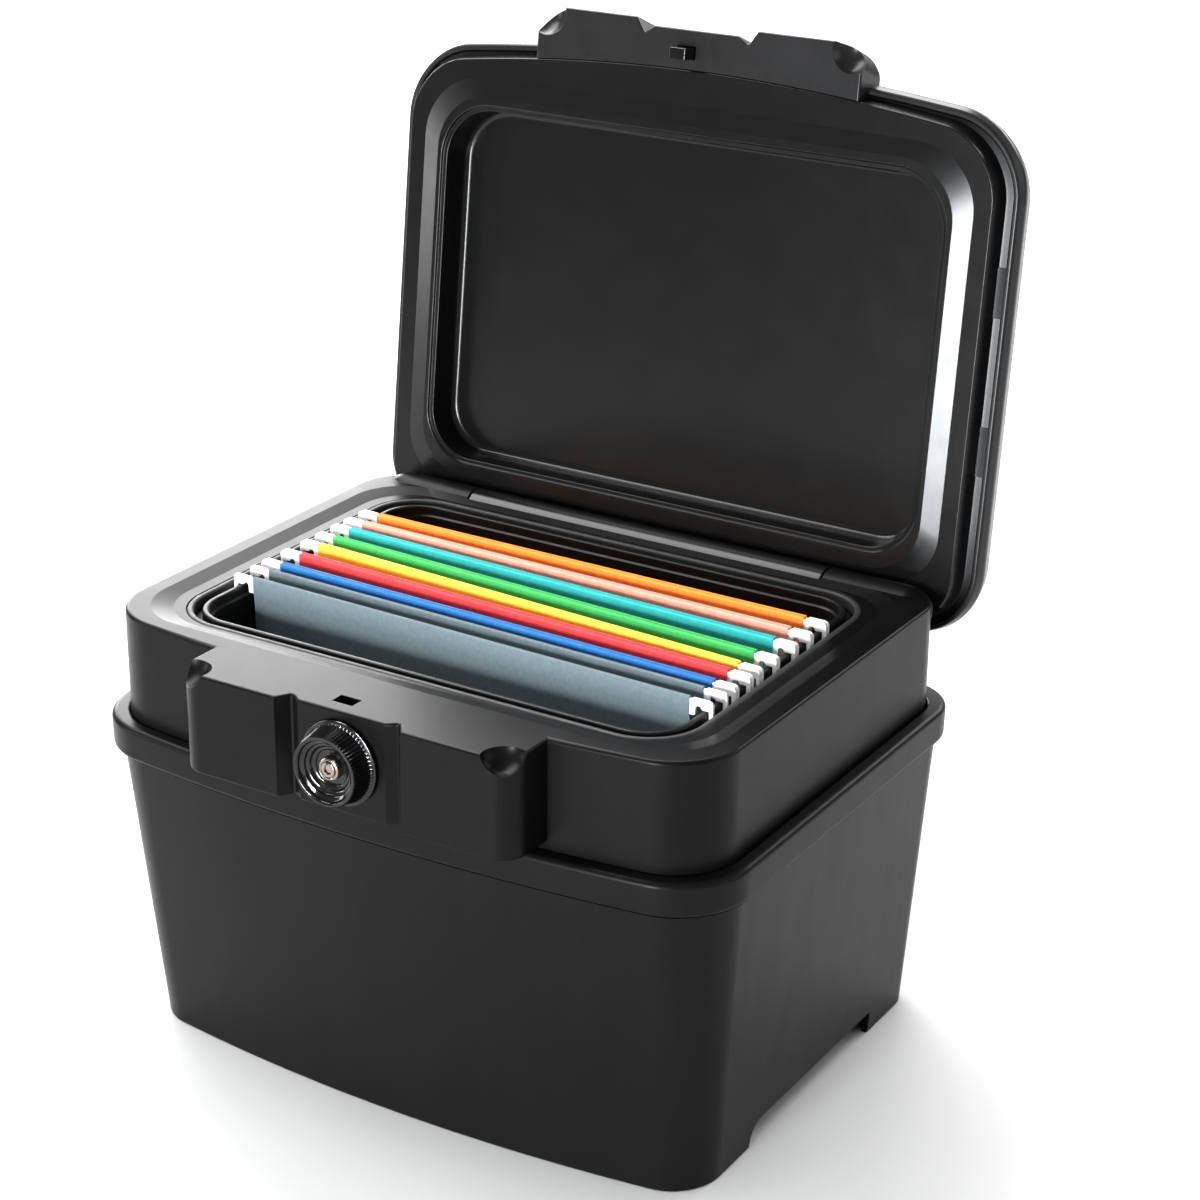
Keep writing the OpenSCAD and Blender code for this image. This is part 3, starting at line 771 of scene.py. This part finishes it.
def area_light(name, place, target, size, power, colour=(1, 1, 1)):
    light = bpy.data.lights.new(name, "AREA")
    light.shape = "RECTANGLE"
    light.size, light.size_y = size
    light.energy = power
    light.color = colour
    obj = bpy.data.objects.new(name, light)
    obj.location = place
    obj.rotation_euler = (Vector(target) - Vector(place)).to_track_quat("-Z", "Y").to_euler()
    bpy.context.scene.collection.objects.link(obj)
    return obj


def aim(light, name, receivers):
    """Limits a lamp to some of the objects, as a grid or a snoot would."""
    group = bpy.data.collections.new(name)
    for obj in receivers:
        group.objects.link(obj)
    light.light_linking.receiver_collection = group


def make_lights(floor):
    area_light("front_strip", (0.06, -2.5, 0.36), (0.1, 0, 0.36), (0.5, 0.8), 100, (0.94, 0.97, 1.0))
    area_light("right_softbox", (2.4, 0.9, 1.2), (0, 0, 0.2), (2.0, 1.4), 12)
    area_light("top_softbox", (-1.3, 0.2, 2.3), (0, 0, 0.2), (2.2, 1.2), 90)
    area_light("back_softbox", (-1.7, 2.3, 1.5), (0, 0, 0.25), (2.6, 1.4), 25)
    area_light("back_high", (-1.1, 1.9, 2.3), (0, 0, 0.25), (1.6, 1.0), 50)
    area_light("back_low", (-2.3, 1.9, 0.9), (0, 0, 0.25), (1.6, 1.0), 70)
    area_light("back_right", (0.55, 2.7, 1.6), (0, 0, 0.4), (1.8, 1.0), 45)
    wash = area_light("floor_wash", (-0.8, 4.4, 3.2), (-0.8, 4.4, 0), (9.0, 3.0), 420)
    aim(wash, "floor_only", [floor])
    front_wash = area_light("front_wash", (-0.1, -1.2, 3.0), (-0.1, -0.6, 0), (3.6, 2.4), 110)
    aim(front_wash, "floor_only_front", [floor])
    area_light("left_strip", (-2.2, -1.3, 0.7), (0, 0, 0.4), (0.25, 1.2), 15)
    small = [o for o in bpy.data.objects if o.name.startswith(("folder_", "knob", "lock_", "plug", "hook"))]
    aim(area_light("key", (-0.1, -2.4, 0.93), (0, 0, 0.26), (0.3, 0.3), 65), "small_parts", small)
    aim(area_light("fill", (0.2, -1.3, 2.0), (0, 0, 0.26), (0.8, 0.8), 5), "small_parts_fill", small)
    world = bpy.data.worlds.new("studio")
    bpy.context.scene.world = world
    world.use_nodes = True
    world.node_tree.nodes["Background"].inputs["Color"].default_value = (1, 1, 1, 1)
    world.node_tree.nodes["Background"].inputs["Strength"].default_value = 0.25


def make_camera():
    place = Vector((819.5, -1262.3, 887.4))
    forward = Vector((-0.4828, 0.7884, -0.3813)).normalized()
    roll = math.radians(0.51)
    level = forward.cross(Vector((0, 0, 1))).normalized()
    up = level.cross(forward)
    right = level * math.cos(roll) + up * math.sin(roll)
    up = right.cross(forward)
    turn = Matrix((right, up, -forward)).transposed().to_4x4()
    data = bpy.data.cameras.new("camera")
    data.sensor_width = 36
    data.lens = 84.66
    data.clip_end = 50
    camera = bpy.data.objects.new("camera", data)
    camera.matrix_world = Matrix.Translation(TO_FRAME @ place) @ turn
    bpy.context.scene.collection.objects.link(camera)
    bpy.context.scene.camera = camera


CAD_LOOKS = {
    "base_insulation": FILL, "lid_insulation": FILL, "hinge_pins": STEEL, "hinge_washers": NYLON,
    "lock_bush": GLOSS, "bush_nut": STEEL, "drive_cam": STEEL, "cam_screw": STEEL, "latch_bolt": STEEL,
    "latch_plate": STEEL, "plate_screws": STEEL, "bolt_keeper": STEEL, "hook_screws": STEEL,
}


def dress_cad_nodes():
    for name, mat in CAD_LOOKS.items():
        mesh = frame["nodes"][name].data
        mesh.materials.clear()
        mesh.materials.append(mat)


make_camera()
make_tub()
make_collar()
make_liner()
make_gasket()
make_pan()
make_shell()
make_knob()
make_lock()
make_hook()
for index, folder in enumerate(FOLDERS):
    make_folder(index, *folder, rng=random.Random(index + 5))
dress_cad_nodes()
make_lights(make_stage())
bpy.context.scene.view_settings.view_transform = "Standard"
